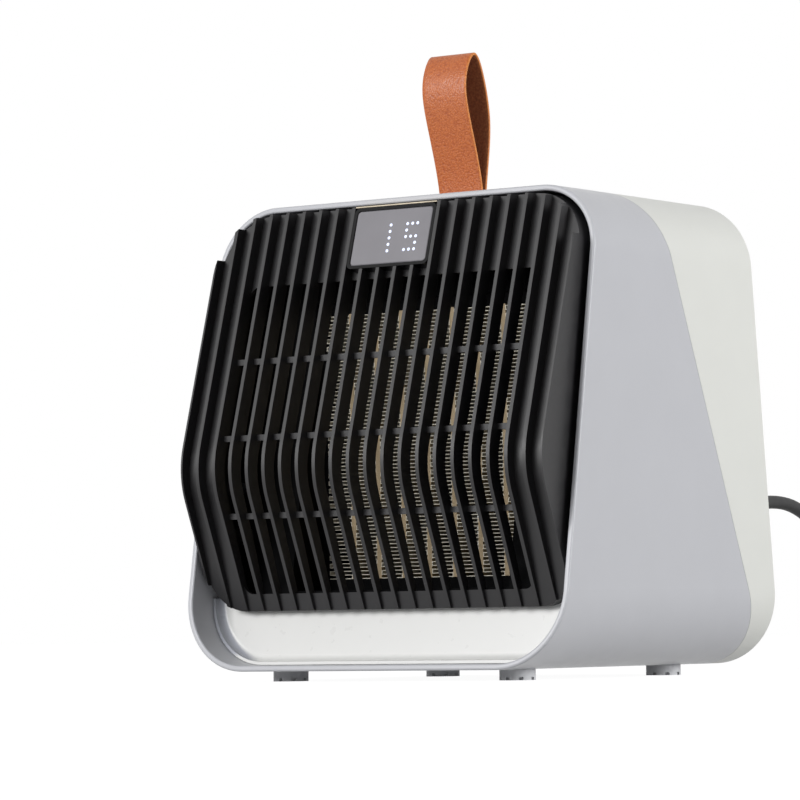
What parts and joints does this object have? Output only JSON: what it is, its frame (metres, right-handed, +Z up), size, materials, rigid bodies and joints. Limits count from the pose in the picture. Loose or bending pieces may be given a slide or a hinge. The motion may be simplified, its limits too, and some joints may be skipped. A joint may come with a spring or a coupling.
{
  "type": "desktop fan heater",
  "caption": "Small desktop ceramic fan heater: leaning rounded sleeve, bent ribbed black grille over the heating element, lit display, leather carrying loop, feet and a coiled mains cord.",
  "frame": {"origin": "middle of the heater's footprint on the table, under the feet", "axes": "+X to the right seen from the front, +Y to the back, +Z up"},
  "size_m": [0.2704, 0.4604, 0.3208],
  "materials": {
    "gray_shell": "satin gray",
    "white_shell": "satin off-white",
    "white_panel": "glossy white",
    "black_plastic": "satin black",
    "display_black": "gloss black",
    "display_glass": "smoked gloss",
    "display_glow": "lit white",
    "champagne_trim": "metallic champagne",
    "circuit_board": "green laminate",
    "element_frame": "black heat-resistant plastic",
    "element_bar": "tan film",
    "element_fin": "bright",
    "tab_brass": "bare",
    "steel": "brushed",
    "screw_steel": "zinc",
    "fan_gray": "matte dark gray",
    "lead_insulation": "insulated wire",
    "component_dark": "moulded",
    "leather": "grained tan",
    "clamp_plastic": "matte",
    "button_gray": "satin",
    "foot_gray": "light gray",
    "cord_rubber": "matte black",
    "tie_black": "matte",
    "pin_metal": "nickel"
  },
  "bodies": {
    "base": {"board_screws": "screw_steel", "button_board": "circuit_board", "button_screws": "screw_steel", "button_switches": "component_dark", "control_board": "circuit_board", "control_relays": "component_dark", "cord_coil": "cord_rubber", "cord_strain_relief": "cord_rubber", "cord_tie": "tie_black", "display_board": "circuit_board", "display_frame": "display_black", "display_lens": "display_glass", "display_light_guide": "display_glow", "display_trim": "champagne_trim", "duct_frame": "black_plastic", "fan_housing": "black_plastic", "fan_motor": "steel", "fan_screws": "screw_steel", "film_capacitor": "component_dark", "foot_front_left": "foot_gray", "foot_front_right": "foot_gray", "foot_rear_left": "foot_gray", "foot_rear_right": "foot_gray", "foot_screws": "screw_steel", "front_shell": "gray_shell", "grille_cover": "black_plastic", "grille_screws": "screw_steel", "handle_strap": "leather", "heater_leads": "lead_insulation", "lower_panel": "white_panel", "mains_connector": "component_dark", "mains_lead": "lead_insulation", "motor_bushes": "tab_brass", "motor_lead": "lead_insulation", "motor_screws": "screw_steel", "panel_screws": "screw_steel", "plug_pins": "pin_metal", "power_cord": "cord_rubber", "power_plug": "cord_rubber", "ptc_bars": "element_bar", "ptc_fins": "element_fin", "ptc_frame": "element_frame", "ptc_terminals": "tab_brass", "rear_grille": "white_shell", "rear_shell": "white_shell", "shell_screws": "screw_steel", "strap_clamp": "clamp_plastic", "strap_screws": "screw_steel", "switch_housing": "black_plastic", "switch_terminals": "tab_brass", "terminal_block": "component_dark", "thermal_cutout": "steel", "tip_over_switch": "component_dark", "transformer": "component_dark"},
    "fan": {"fan_impeller": "fan_gray", "motor_shaft": "steel"},
    "rocker": {"power_rocker": "black_plastic"},
    "minus": {"minus_button": "button_gray"},
    "power": {"power_button": "button_gray"},
    "plus": {"plus_button": "button_gray"}
  },
  "joints": [
    {"name": "fan_spin", "type": "hinge", "parent": "base", "child": "fan", "pos_m": [0, 0.013, 0.1205], "axis": [0, 1, 0], "continuous": true},
    {"name": "rocker_tilt", "type": "hinge", "parent": "base", "child": "rocker", "pos_m": [0.084, 0.10195, 0.04579], "axis": [1, 0, 0], "range_deg": [0, 14]},
    {"name": "minus_press", "type": "slide", "parent": "base", "child": "minus", "axis": [0, 0, 1], "range_m": [-0.001, 0], "stiffness_N_per_m": 400, "springref_m": 0.0005},
    {"name": "power_press", "type": "slide", "parent": "base", "child": "power", "axis": [0, 0, 1], "range_m": [-0.001, 0], "stiffness_N_per_m": 400, "springref_m": 0.0005},
    {"name": "plus_press", "type": "slide", "parent": "base", "child": "plus", "axis": [0, 0, 1], "range_m": [-0.001, 0], "stiffness_N_per_m": 400, "springref_m": 0.0005}
  ]
}
